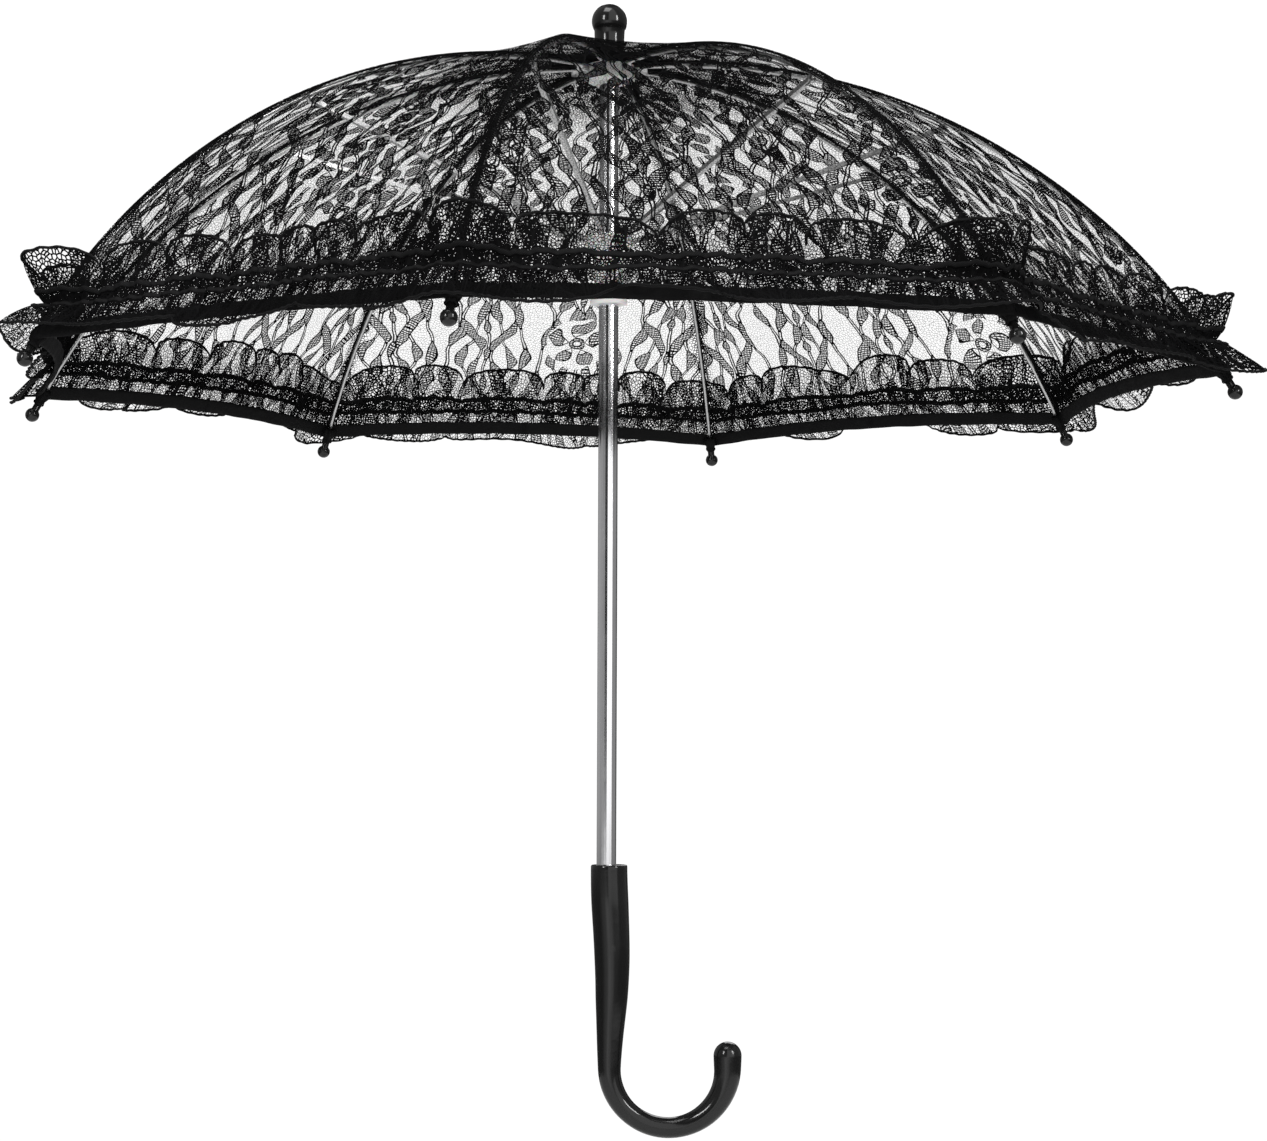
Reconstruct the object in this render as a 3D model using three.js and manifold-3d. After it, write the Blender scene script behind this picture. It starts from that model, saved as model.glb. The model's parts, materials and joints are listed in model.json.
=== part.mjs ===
// Lace parasol, open. Millimetres, +Z up. The shaft runs along Z, the crook of the handle opens
// towards +X, and the origin is on the shaft's axis at the middle of the grip.
import * as THREE from 'three';
import { mergeVertices } from 'three/addons/utils/BufferGeometryUtils.js';
import Module from 'manifold-3d';

const wasm = await Module();
wasm.setup();

// ---- driving dimensions ----
const GAP = 0.3;                // clearance between pieces that seat in or touch each other

const HANDLE_TOP = 45;          // rim of the handle, above the middle of the grip
const SHAFT_EXPOSED = 410;      // from the handle's rim up to the line of the open ribs
const SHAFT_R = 5;
const SHAFT_WALL = 0.8;
const SOCKET_DEPTH = 28;        // how far the shaft goes down into the handle

const CROOK_R = 30;             // centreline of the bend
const CROOK_START = -102.6;     // height of the bend's centre, from the handle's rim
const CROOK_END = 6.2;          // straight length after the bend, before the round end
const GRIP_BOW = 1.5;           // how far the middle of the grip bows towards the crook
const RIM_ASIDE = 1.4;          // centre of the rim beside the shaft's axis
const BEND_ASIDE = 1.9;         // start of the bend beside the shaft's axis

const RIB_COUNT = 8;
const RIB_PHASE = THREE.MathUtils.degToRad(33.1);   // direction of the first rib, from +X
const TIP_RADIUS = 315;         // centre of a tip ball, from the axis
const RIB_SWEEP = THREE.MathUtils.degToRad(59.5);   // angle that a rib turns down through
const RIB_FLAT_R = 24;          // radius where a rib starts to bend down
const RIB_END = 14;             // straight end of a rib, up to the tip ball's centre
const RIB_WIRE_R = 1.1;
const LINK_R = 172;             // radius of the stretcher's rivet, when open
const LINK_BELOW = 1.7;         // rivet below the rib's wire

const NOTCH_PIVOT_OUT = 5;      // notch wire outside the shaft
const NOTCH_PIVOT_DROP = 1.5;   // notch wire below the line of the ribs
const NOTCH_RIM = 3;            // notch outside its wire
const NOTCH_ABOVE = 2.4;        // notch above and below its wire
const NOTCH_BELOW = 5.5;

const RUNNER_PIVOT_OUT = 5.5;   // runner wire outside the shaft
const RUNNER_OPEN_DROP = 90.5;  // runner wire below the line of the ribs, when open
const RUNNER_CLEARANCE = 0.4;   // sliding fit on the shaft
const RUNNER_WALL = 2;
const RUNNER_RIM = 2;           // crown outside its wire
const RUNNER_CROWN_HALF = 2.5;
const RUNNER_LENGTH = 35;
const RUNNER_FLANGE_OUT = 4.6;  // foot flange outside the shaft
const RUNNER_FLANGE = 2.2;
const CLOSED_TRAVEL = 228.6;    // how far the runner comes down to close the parasol

const WIRE_R = 0.6;             // ring wires of the notch and the runner
const EYE_R = 2.2;              // eye at a rib's root
const PLATE = 1;                // thickness of eyes and tongues
const PIVOT_PLAY = 0.4;         // beside an eye or a tongue, in its slot

const CHANNEL_WIDTH = 2.6;      // stretcher: folded U channel
const CHANNEL_DEPTH = 2.2;
const CHANNEL_WALL = 0.5;
const TONGUE_LENGTH = 12;
const TONGUE_OVERLAP = 4;       // tongue inside its channel
const TONGUE_SLOPE = 5;         // its upper edge slopes down here, to pass outside the runner's wire
const TONGUE_RELIEF = 0.35;     // upper edge's end, below the stretcher's centreline
const RIVET_RIM = 0.2;          // metal beside the rivet's hole in the channel's sides
const RIVET_R = CHANNEL_DEPTH / 2 - GAP - RIVET_RIM;
const RIVET_HEAD_R = 1.2;
const RIVET_HEAD = 0.5;

const BALL_R = 3.75;            // rib tips
const SLEEVE_WALL = 0.6;
const SLEEVE_LENGTH = 12;       // from the ball's centre back to the sleeve's mouth

const CATCH_STICKS_OUT = 2.2;   // nose outside the shaft
const CATCH_BELOW_RUNNER = 0.4; // open catch under the runner's foot
const CATCH_ABOVE_FOOT = 10;    // closed catch above the foot of the closed runner
const CATCH_THICK = 1.4;
const CATCH_NOSE = 9;
const CATCH_LEAF = 34;

const CANOPY_THICK = 0.8;
const CANOPY_ABOVE_TIP = 0.4;   // canopy's inner face above the sleeve of a tip
const CANOPY_HOLE_OUT = 1;      // hole in the canopy outside the shaft
const CANOPY_SAG = 8;           // how far the cloth dips between two ribs at the hem
const HEM_SCALLOP = 9;          // how far the hem rises between two ribs
const HEM_BACK = 9;             // hem's corner before the tip ball's centre
const RUFFLE_ABOVE = 32;        // ruffle's width above and below the hem
const RUFFLE_BELOW = 9;
const RUFFLE_ABOVE_CLOTH = 1.4; // ruffle's inner face above the canopy's outer one
const RUFFLE_FLARE = 6;

const WASHER_OUT = 6;           // washer outside the shaft
const WASHER_THICK = 1;
const FINIAL_BALL_OUT = 4.25;   // finial outside the shaft: ball, waist and foot
const FINIAL_WAIST_OUT = 3;
const FINIAL_FOOT_OUT = 3.5;
const FINIAL_HEIGHT = 28.8;

// ---- derived sizes and places ----
const NOTCH_PIVOT_R = SHAFT_R + NOTCH_PIVOT_OUT;
const NOTCH_R = NOTCH_PIVOT_R + NOTCH_RIM;
const RUNNER_PIVOT_R = SHAFT_R + RUNNER_PIVOT_OUT;
const RUNNER_CROWN_R = RUNNER_PIVOT_R + RUNNER_RIM;
const RUNNER_FLANGE_R = SHAFT_R + RUNNER_FLANGE_OUT;
const WASHER_R = SHAFT_R + WASHER_OUT;
const FINIAL_BALL_R = SHAFT_R + FINIAL_BALL_OUT;
const FINIAL_WAIST_R = SHAFT_R + FINIAL_WAIST_OUT;
const FINIAL_FOOT_R = SHAFT_R + FINIAL_FOOT_OUT;
const LINK_DROP = RIB_WIRE_R + LINK_BELOW;
const CANOPY_HOLE_R = SHAFT_R + CANOPY_HOLE_OUT;
const CANOPY_LIFT = RIB_WIRE_R + GAP + SLEEVE_WALL + CANOPY_ABOVE_TIP;
const RUFFLE_LIFT = CANOPY_LIFT + CANOPY_THICK + RUFFLE_ABOVE_CLOTH;
const RIB_Z = HANDLE_TOP + SHAFT_EXPOSED;
const RIB_BEND_R = (TIP_RADIUS - RIB_FLAT_R - RIB_END * Math.cos(RIB_SWEEP)) / Math.sin(RIB_SWEEP);
const ARC_LENGTH = RIB_BEND_R * RIB_SWEEP;
const RIB_LENGTH = ARC_LENGTH + RIB_END;            // from the start of the bend to the ball
const NOTCH_PIVOT_Z = RIB_Z - NOTCH_PIVOT_DROP;
const RUNNER_PIVOT_Z = RIB_Z - RUNNER_OPEN_DROP;
const RUNNER_TOP = RUNNER_PIVOT_Z + RUNNER_CROWN_HALF;
const RUNNER_BOTTOM = RUNNER_TOP - RUNNER_LENGTH;
const LINK_ANGLE = Math.asin((LINK_R - RIB_FLAT_R) / RIB_BEND_R);
const LINK_Z = RIB_Z - RIB_BEND_R * (1 - Math.cos(LINK_ANGLE)) - LINK_DROP;
const CATCH_ANGLE = RIB_PHASE + 1.5 * 2 * Math.PI / RIB_COUNT;   // between two ribs
const CROWN_Z = RIB_Z + CANOPY_LIFT + CANOPY_THICK;
const WASHER_Z = CROWN_Z + GAP;
const FINIAL_Z = WASHER_Z + WASHER_THICK + GAP;

// ---- finishes ----
const finish = (color, roughness, metalness) =>
  new THREE.MeshStandardMaterial({ color, roughness, metalness });
const CHROME = finish(0xc9ccd0, 0.12, 1);
const STEEL = finish(0xb4b7bb, 0.3, 1);
const GLOSS_BLACK = finish(0x0b0b0d, 0.15, 0);
const WHITE_PLASTIC = finish(0xe6e7e4, 0.4, 0);
const LACE = finish(0x1b1b1e, 0.85, 0);

const parasol = new THREE.Group();
parasol.name = 'lace_parasol';

function place(name, geometry, material, turn = 0) {
  const mesh = new THREE.Mesh(geometry, material);
  mesh.name = name;
  mesh.rotation.z = turn;
  parasol.add(mesh);
}

// ---- solids and their joins ----
// A mesh's indexed triangles, with shared corners merged and faces turned outwards.
function closed(geometry) {
  const bare = geometry.clone();
  bare.deleteAttribute('normal');
  bare.deleteAttribute('uv');
  const merged = mergeVertices(bare, 1e-4);
  const p = merged.attributes.position;
  const index = merged.index.array;
  const a = new THREE.Vector3();
  const b = new THREE.Vector3();
  const c = new THREE.Vector3();
  let volume = 0;
  for (let i = 0; i < index.length; i += 3) {
    a.fromBufferAttribute(p, index[i]);
    b.fromBufferAttribute(p, index[i + 1]);
    c.fromBufferAttribute(p, index[i + 2]);
    volume += a.dot(b.cross(c));
  }
  if (volume < 0) {
    for (let i = 0; i < index.length; i += 3) {
      [index[i], index[i + 1]] = [index[i + 1], index[i]];
    }
  }
  return merged;
}

function solid(geometry) {
  const merged = closed(geometry);
  return new wasm.Manifold(new wasm.Mesh({
    numProp: 3,
    vertProperties: new Float32Array(merged.attributes.position.array),
    triVerts: new Uint32Array(merged.index.array),
  }));
}

function geometryOf(manifold) {
  const mesh = manifold.getMesh();
  const geometry = new THREE.BufferGeometry();
  geometry.setAttribute('position', new THREE.BufferAttribute(mesh.vertProperties, 3));
  geometry.setIndex(new THREE.BufferAttribute(mesh.triVerts, 1));
  return geometry;
}

// ---- basic shapes ----
// A profile of [radius, height] points turned about Z.
function turned(points, segments) {
  const profile = points.map(([r, z]) => new THREE.Vector2(r, z));
  return closed(new THREE.LatheGeometry(profile, segments).rotateX(Math.PI / 2));
}

// A ring of rectangular section, about Z.
function washer(inner, outer, low, high, segments) {
  return turned([[inner, low], [outer, low], [outer, high], [inner, high], [inner, low]], segments);
}

// An outline of [x, z] points, extruded to a plate of this thickness centred on the XZ plane.
function plate(outline, thickness) {
  const shape = new THREE.Shape(outline.map(([x, z]) => new THREE.Vector2(x, z)));
  const geometry = new THREE.ExtrudeGeometry(shape, { depth: thickness, bevelEnabled: false });
  return geometry.translate(0, 0, -thickness / 2).rotateX(Math.PI / 2);
}

// The outline of a bar with a round end at the start and a square one at (length, 0).
function roundEnded(radius, length, steps = 8) {
  const outline = [[length, -radius], [length, radius]];
  for (let i = 0; i <= steps; i += 1) {
    const angle = Math.PI / 2 + Math.PI * i / steps;
    outline.push([radius * Math.cos(angle), radius * Math.sin(angle)]);
  }
  return outline;
}

// A round bar along Y through (x, z).
function crossBar(radius, length, x, z, segments = 10) {
  return new THREE.CylinderGeometry(radius, radius, length, segments).translate(x, 0, z);
}

function box(x0, x1, y0, y1, z0, z1) {
  const geometry = new THREE.BoxGeometry(x1 - x0, y1 - y0, z1 - z0);
  return geometry.translate((x0 + x1) / 2, (y0 + y1) / 2, (z0 + z1) / 2);
}

// A thin closed sheet over a grid: corner(i, j) gives the two faces' points as [inner, outer].
function shell(columns, rows, corner) {
  const vertices = [];
  for (let i = 0; i <= columns; i += 1) {
    for (let j = 0; j <= rows; j += 1) {
      const [inner, outer] = corner(i / columns, j / rows);
      vertices.push(inner.x, inner.y, inner.z, outer.x, outer.y, outer.z);
    }
  }
  const at = (i, j, side) => 2 * (i * (rows + 1) + j) + side;
  const triangles = [];
  const quad = (a, b, c, d) => triangles.push(a, b, c, a, c, d);
  for (let i = 0; i < columns; i += 1) {
    for (let j = 0; j < rows; j += 1) {
      quad(at(i, j, 0), at(i, j + 1, 0), at(i + 1, j + 1, 0), at(i + 1, j, 0));
      quad(at(i, j, 1), at(i + 1, j, 1), at(i + 1, j + 1, 1), at(i, j + 1, 1));
    }
  }
  for (let i = 0; i < columns; i += 1) {
    quad(at(i, 0, 0), at(i + 1, 0, 0), at(i + 1, 0, 1), at(i, 0, 1));
    quad(at(i, rows, 0), at(i, rows, 1), at(i + 1, rows, 1), at(i + 1, rows, 0));
  }
  for (let j = 0; j < rows; j += 1) {
    quad(at(0, j, 0), at(0, j, 1), at(0, j + 1, 1), at(0, j + 1, 0));
    quad(at(columns, j, 0), at(columns, j + 1, 0), at(columns, j + 1, 1), at(columns, j, 1));
  }
  const geometry = new THREE.BufferGeometry();
  geometry.setAttribute('position', new THREE.Float32BufferAttribute(vertices, 3));
  geometry.setIndex(triangles);
  return closed(geometry);
}

// ---- shaft, handle and finial ----
function shaftTube() {
  const low = HANDLE_TOP - SOCKET_DEPTH;
  const high = FINIAL_Z + FINIAL_HEIGHT - 2 * FINIAL_BALL_R + 2;
  let tube = solid(washer(SHAFT_R - SHAFT_WALL, SHAFT_R, low, high, 24));
  for (const { z, up } of [OPEN_CATCH, CLOSED_CATCH]) {
    const from = z - (up ? CATCH_NOSE + GAP : GAP);
    const to = z + (up ? GAP : CATCH_NOSE + GAP);
    const half = CATCH_THICK / 2 + GAP;
    const slot = box(0, SHAFT_R + 1, -half, half, from, to).rotateZ(CATCH_ANGLE);
    tube = tube.subtract(solid(slot));
  }
  place('shaft_tube', geometryOf(tube), CHROME);
}

// Radius of the handle at a distance along its centreline from the rim: full at the grip,
// slim round the bend, and fuller again towards the crook's end.
const GRIP_PROFILE = [
  [0, 9.3], [18, 9.5], [46, 9], [66, 8.2], [84, 6.8], [100, 5.8],
  [126, 5.2], [154, 5.3], [180, 6.3], [198, 7.2],
];

// The centreline: down the grip, which bows a little, round the bend, and up to the centre of the round end.
class CrookLine extends THREE.Curve {
  constructor() {
    super();
    this.grip = -CROOK_START;
    this.bend = Math.PI * CROOK_R;
    this.total = this.grip + this.bend + CROOK_END;
  }

  getPoint(t) {
    const s = t * this.total;
    const centreZ = HANDLE_TOP + CROOK_START;
    if (s <= this.grip) {
      const bow = GRIP_BOW * Math.sin(Math.PI * s / this.grip) ** 2;
      const turned = Math.sin(Math.PI * s / this.grip / 2) ** 2;
      const aside = RIM_ASIDE + (BEND_ASIDE - RIM_ASIDE) * turned;
      return new THREE.Vector3(aside + bow, 0, HANDLE_TOP - s);
    }
    if (s <= this.grip + this.bend) {
      const angle = Math.PI + (s - this.grip) / CROOK_R;
      const x = BEND_ASIDE + CROOK_R * (1 + Math.cos(angle));
      return new THREE.Vector3(x, 0, centreZ + CROOK_R * Math.sin(angle));
    }
    return new THREE.Vector3(BEND_ASIDE + 2 * CROOK_R, 0, centreZ + s - this.grip - this.bend);
  }
}

function handle() {
  const line = new CrookLine();
  const knots = GRIP_PROFILE.map(([s, r]) => new THREE.Vector2(s, r));
  const profile = new THREE.SplineCurve(knots);
  const profileEnd = GRIP_PROFILE.at(-1)[0];
  const radiusAt = (s) => {
    let low = 0;
    let high = 1;
    for (let i = 0; i < 30; i += 1) {
      const mid = (low + high) / 2;
      if (profile.getPoint(mid).x < s) low = mid;
      else high = mid;
    }
    return profile.getPoint(low).y;
  };
  const around = 18;
  const along = 34;
  const capSteps = 4;
  const rings = [];
  for (let k = 0; k <= along; k += 1) {
    const t = k / along;
    rings.push({ t, lift: 0, r: radiusAt(t * profileEnd) });
  }
  const endR = rings.at(-1).r;
  for (let k = 1; k < capSteps; k += 1) {
    const angle = k / capSteps * Math.PI / 2;
    rings.push({ t: 1, lift: endR * Math.sin(angle), r: endR * Math.cos(angle) });
  }
  const vertices = [];
  for (const { t, lift, r } of rings) {
    const centre = line.getPoint(t);
    const ahead = line.getTangent(t);
    const side = new THREE.Vector3(0, 1, 0).cross(ahead).normalize();
    centre.addScaledVector(ahead, lift);
    for (let i = 0; i < around; i += 1) {
      const angle = 2 * Math.PI * i / around;
      const p = centre.clone().addScaledVector(side, r * Math.cos(angle));
      vertices.push(p.x, p.y + r * Math.sin(angle), p.z);
    }
  }
  const top = line.getPoint(0);
  const tip = line.getPoint(1).addScaledVector(line.getTangent(1), endR);
  vertices.push(top.x, top.y, top.z, tip.x, tip.y, tip.z);
  const last = rings.length - 1;
  const topIndex = rings.length * around;
  const triangles = [];
  for (let i = 0; i < around; i += 1) {
    const j = (i + 1) % around;
    triangles.push(topIndex, i, j, topIndex + 1, last * around + j, last * around + i);
    for (let k = 0; k < last; k += 1) {
      const a = k * around;
      const b = a + around;
      triangles.push(a + i, b + i, b + j, a + i, b + j, a + j);
    }
  }
  const body = new THREE.BufferGeometry();
  body.setAttribute('position', new THREE.Float32BufferAttribute(vertices, 3));
  body.setIndex(triangles);
  const floor = HANDLE_TOP - SOCKET_DEPTH - GAP;
  const bore = turned([[0, floor], [SHAFT_R + GAP, floor], [SHAFT_R + GAP, HANDLE_TOP + 1],
    [0, HANDLE_TOP + 1]], 24);
  place('handle', geometryOf(solid(body).subtract(solid(bore))), GLOSS_BLACK);
}

function finial() {
  const ballZ = FINIAL_Z + FINIAL_HEIGHT - FINIAL_BALL_R;
  const waistAngle = Math.acos(FINIAL_WAIST_R / FINIAL_BALL_R);
  const boreTop = FINIAL_Z + FINIAL_HEIGHT - 2 * FINIAL_BALL_R + 2 + GAP;
  const points = [
    [0, boreTop],
    [SHAFT_R + GAP, boreTop],
    [SHAFT_R + GAP, FINIAL_Z],
    [FINIAL_FOOT_R, FINIAL_Z],
    [FINIAL_FOOT_R, FINIAL_Z + 3],
    [FINIAL_WAIST_R + 0.2, (FINIAL_Z + ballZ) / 2 - 1],
  ];
  const steps = 8;
  for (let k = 0; k <= steps; k += 1) {
    const angle = -waistAngle + (Math.PI / 2 + waistAngle) * k / steps;
    points.push([FINIAL_BALL_R * Math.cos(angle), ballZ + FINIAL_BALL_R * Math.sin(angle)]);
  }
  points.at(-1)[0] = 0;
  place('finial', turned(points, 24), GLOSS_BLACK);
  place('crown_washer', washer(SHAFT_R + GAP, WASHER_R, WASHER_Z, WASHER_Z + WASHER_THICK, 24), GLOSS_BLACK);
}

// ---- notch and runner ----
const ringWire = (radius, z) =>
  new THREE.TorusGeometry(radius, WIRE_R, 6, 32).translate(0, 0, z);
const ringGroove = (radius, z) =>
  new THREE.TorusGeometry(radius, WIRE_R + GAP, 8, 32).translate(0, 0, z);

// Cuts one radial slot under each rib, from the inner radius outwards.
function slotted(body, inner, outer, low, high) {
  const half = PLATE / 2 + PIVOT_PLAY;
  let cut = body;
  for (let k = 0; k < RIB_COUNT; k += 1) {
    const slot = box(inner, outer + 1, -half, half, low - 1, high + 1);
    cut = cut.subtract(solid(slot.rotateZ(ribAngle(k))));
  }
  return cut;
}

function notch() {
  const low = NOTCH_PIVOT_Z - NOTCH_BELOW;
  const high = NOTCH_PIVOT_Z + NOTCH_ABOVE;
  const bore = SHAFT_R + GAP;
  const blank = solid(washer(bore, NOTCH_R, low, high, 32));
  const grooved = blank.subtract(solid(ringGroove(NOTCH_PIVOT_R, NOTCH_PIVOT_Z)));
  const inner = NOTCH_PIVOT_R - EYE_R - PIVOT_PLAY;
  place('top_notch', geometryOf(slotted(grooved, inner, NOTCH_R, low, high)), WHITE_PLASTIC);
  place('notch_wire', ringWire(NOTCH_PIVOT_R, NOTCH_PIVOT_Z), STEEL);
}

function runner() {
  const bore = SHAFT_R + RUNNER_CLEARANCE;
  const sleeve = bore + RUNNER_WALL;
  const crownLow = RUNNER_PIVOT_Z - RUNNER_CROWN_HALF;
  const profile = [
    [bore, RUNNER_BOTTOM],
    [RUNNER_FLANGE_R, RUNNER_BOTTOM],
    [RUNNER_FLANGE_R, RUNNER_BOTTOM + RUNNER_FLANGE],
    [sleeve, RUNNER_BOTTOM + RUNNER_FLANGE + 1],
    [sleeve, crownLow - 2],
    [sleeve + 1.2, crownLow],
    [RUNNER_CROWN_R, crownLow],
    [RUNNER_CROWN_R, RUNNER_TOP],
    [bore, RUNNER_TOP],
    [bore, RUNNER_BOTTOM],
  ];
  const blank = solid(turned(profile, 32));
  const grooved = blank.subtract(solid(ringGroove(RUNNER_PIVOT_R, RUNNER_PIVOT_Z)));
  const inner = sleeve + 1.4;
  const cut = slotted(grooved, inner, RUNNER_CROWN_R, crownLow, RUNNER_TOP);
  const half = CATCH_THICK / 2 + 2 * GAP;
  const keyway = box(0, SHAFT_R + CATCH_STICKS_OUT + 2 * GAP, -half, half, RUNNER_BOTTOM - 1, RUNNER_TOP + 1);
  place('runner', geometryOf(cut.subtract(solid(keyway.rotateZ(CATCH_ANGLE)))), WHITE_PLASTIC);
  place('runner_wire', ringWire(RUNNER_PIVOT_R, RUNNER_PIVOT_Z), STEEL);
}

// ---- catches: a leaf inside the shaft with a nose that stands out through a slot ----
const OPEN_CATCH = { name: 'open_catch', z: RUNNER_BOTTOM - CATCH_BELOW_RUNNER, up: true };
const CLOSED_CATCH = { name: 'closed_catch', z: RUNNER_BOTTOM - CLOSED_TRAVEL + CATCH_ABOVE_FOOT, up: false };

function springCatch({ name, z, up }) {
  const leafOut = SHAFT_R - SHAFT_WALL - 2 * GAP;
  const leafIn = leafOut - CATCH_THICK;
  const nose = SHAFT_R + CATCH_STICKS_OUT;
  const way = up ? -1 : 1;
  const outline = [
    [leafIn, z],
    [nose, z],
    [nose, z + way * 1.5],
    [leafOut, z + way * CATCH_NOSE],
    [leafOut, z + way * CATCH_LEAF],
    [leafIn, z + way * CATCH_LEAF],
  ];
  place(name, closed(plate(outline, CATCH_THICK)), STEEL, CATCH_ANGLE);
}

// ---- ribs, tips and stretchers, each drawn along +X and turned into place ----
function ribAngle(k) {
  return RIB_PHASE + 2 * Math.PI * k / RIB_COUNT;
}

// A rib's line by distance from the start of its bend: flat before it, then an arc, then
// straight on. Gives the point and the outward normal in the rib's own plane.
function ribLine(s) {
  const turn = THREE.MathUtils.clamp(s / RIB_BEND_R, 0, RIB_SWEEP);
  const flat = Math.min(s, 0);
  const past = Math.max(s - ARC_LENGTH, 0);
  const x = RIB_FLAT_R + flat + RIB_BEND_R * Math.sin(turn) + past * Math.cos(turn);
  const z = RIB_Z - RIB_BEND_R * (1 - Math.cos(turn)) - past * Math.sin(turn);
  return { x, z, nx: Math.sin(turn), nz: Math.cos(turn), turn };
}

class RibCurve extends THREE.Curve {
  getPoint(t) {
    const start = NOTCH_PIVOT_R + 4 - RIB_FLAT_R;
    const end = RIB_LENGTH - BALL_R;
    const { x, z } = ribLine(start + t * (end - start));
    return new THREE.Vector3(x, 0, z);
  }
}

function ribs() {
  const section = new THREE.Shape();
  for (let i = 0; i < 6; i += 1) {
    const angle = Math.PI / 3 * i;
    const method = i ? 'lineTo' : 'moveTo';
    section[method](RIB_WIRE_R * Math.cos(angle), RIB_WIRE_R * Math.sin(angle));
  }
  const wire = new THREE.ExtrudeGeometry(section, { steps: 16, extrudePath: new RibCurve() });
  const rootLength = 10;
  const root = plate(roundEnded(EYE_R, rootLength), PLATE).translate(NOTCH_PIVOT_R, 0, NOTCH_PIVOT_Z);
  const eyeHole = crossBar(WIRE_R + GAP, 2 * PLATE, NOTCH_PIVOT_R, NOTCH_PIVOT_Z);
  const ear = plate(roundEnded(LINK_DROP - 0.6, LINK_DROP), PLATE).rotateY(-Math.PI / 2);
  const link = ear.translate(LINK_R, 0, LINK_Z);
  const linkHole = crossBar(RIVET_R + GAP, 2 * PLATE, LINK_R, LINK_Z);
  const body = solid(wire).add(solid(root)).add(solid(link));
  const rib = geometryOf(body.subtract(solid(eyeHole)).subtract(solid(linkHole)));

  const bore = RIB_WIRE_R + GAP;
  const sleeve = bore + SLEEVE_WALL;
  const meet = Math.acos(sleeve / BALL_R);
  const profile = [
    [0, -BALL_R + GAP], [bore, -BALL_R + GAP],
    [bore, -SLEEVE_LENGTH], [sleeve, -SLEEVE_LENGTH],
  ];
  for (let k = 0; k <= 5; k += 1) {
    const angle = -meet + (Math.PI / 2 + meet) * k / 5;
    profile.push([BALL_R * Math.cos(angle), BALL_R * Math.sin(angle)]);
  }
  profile.at(-1)[0] = 0;
  const end = ribLine(RIB_LENGTH);
  const tip = turned(profile, 10).rotateY(Math.PI / 2 + RIB_SWEEP).translate(end.x, 0, end.z);

  const headOut = CHANNEL_WIDTH / 2 + GAP + RIVET_HEAD;
  const headIn = headOut - RIVET_HEAD;
  const rivetProfile = [[0, -headOut], [RIVET_HEAD_R, -headOut], [RIVET_HEAD_R, -headIn], [RIVET_R, -headIn],
    [RIVET_R, headIn], [RIVET_HEAD_R, headIn], [RIVET_HEAD_R, headOut], [0, headOut]];
  const rivet = turned(rivetProfile, 8).rotateX(Math.PI / 2).translate(LINK_R, 0, LINK_Z);

  for (let k = 0; k < RIB_COUNT; k += 1) {
    place(`rib_${k + 1}`, rib, STEEL, ribAngle(k));
    place(`rib_tip_${k + 1}`, tip, GLOSS_BLACK, ribAngle(k));
    place(`link_rivet_${k + 1}`, rivet, STEEL, ribAngle(k));
  }
}

// A stretcher runs from the rivet down to the runner's wire. Its channel straddles the rib's ear,
// its floor is cut away there, and its tongue stops short of the wire.
function stretchers() {
  const dx = RUNNER_PIVOT_R - LINK_R;
  const dz = RUNNER_PIVOT_Z - LINK_Z;
  const length = Math.hypot(dx, dz);
  const halfDepth = CHANNEL_DEPTH / 2;
  const halfWidth = CHANNEL_WIDTH / 2;
  const inside = halfWidth - CHANNEL_WALL;
  const channelEnd = length - TONGUE_LENGTH;
  const side = plate(roundEnded(halfDepth, channelEnd), CHANNEL_WALL);
  const offset = inside + CHANNEL_WALL / 2;
  const floor = box(LINK_DROP + 2, channelEnd, -halfWidth, halfWidth, -halfDepth, -halfDepth + CHANNEL_WALL);
  const tongueEnd = length - WIRE_R - 2 * GAP;
  const tongueTop = halfDepth - CHANNEL_WALL;
  const tongue = plate([
    [channelEnd - TONGUE_OVERLAP, -halfDepth],
    [tongueEnd, -halfDepth],
    [tongueEnd, -TONGUE_RELIEF],
    [tongueEnd - TONGUE_SLOPE, tongueTop],
    [channelEnd - TONGUE_OVERLAP, tongueTop],
  ], PLATE);
  const rivetHole = crossBar(RIVET_R + GAP, 2 * CHANNEL_WIDTH, 0, 0);
  const body = solid(side.clone().translate(0, offset, 0))
    .add(solid(side.clone().translate(0, -offset, 0)))
    .add(solid(floor))
    .add(solid(tongue))
    .subtract(solid(rivetHole));
  const turn = Math.atan2(-dz, dx);
  const stretcher = geometryOf(body).rotateX(Math.PI).rotateY(turn).translate(LINK_R, 0, LINK_Z);
  for (let k = 0; k < RIB_COUNT; k += 1) {
    place(`stretcher_${k + 1}`, stretcher, STEEL, ribAngle(k));
  }
}

// ---- canopy and ruffle: one gore over each rib, from mid-panel to mid-panel ----
// A point of the cloth: s along the rib line, lift above it, and w from -0.5 to 0.5 across,
// on the straight line from this rib to its neighbour, dipping between them.
function clothPoint(s, lift, w) {
  const { x, z, nx, nz } = ribLine(s);
  const r = x + lift * nx;
  const step = 2 * Math.PI / RIB_COUNT;
  const across = Math.abs(w);
  const chord = 2 * r * Math.sin(step / 2);
  const edge = Math.min(across, 0.5 - GAP / 2 / chord);
  const dip = 4 * edge * (1 - edge) * CANOPY_SAG * r / TIP_RADIUS;
  const px = r * (1 - edge * (1 - Math.cos(step)));
  const py = r * edge * Math.sin(step);
  const bearing = Math.atan2(py, px);
  return new THREE.Vector3(
    px - dip * nx * Math.cos(bearing),
    Math.sign(w) * (py - dip * nx * Math.sin(bearing)),
    z + lift * nz - dip * nz,
  );
}

const hemAt = (w) => RIB_LENGTH - HEM_BACK - HEM_SCALLOP * 4 * Math.abs(w) * (1 - Math.abs(w));

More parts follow.
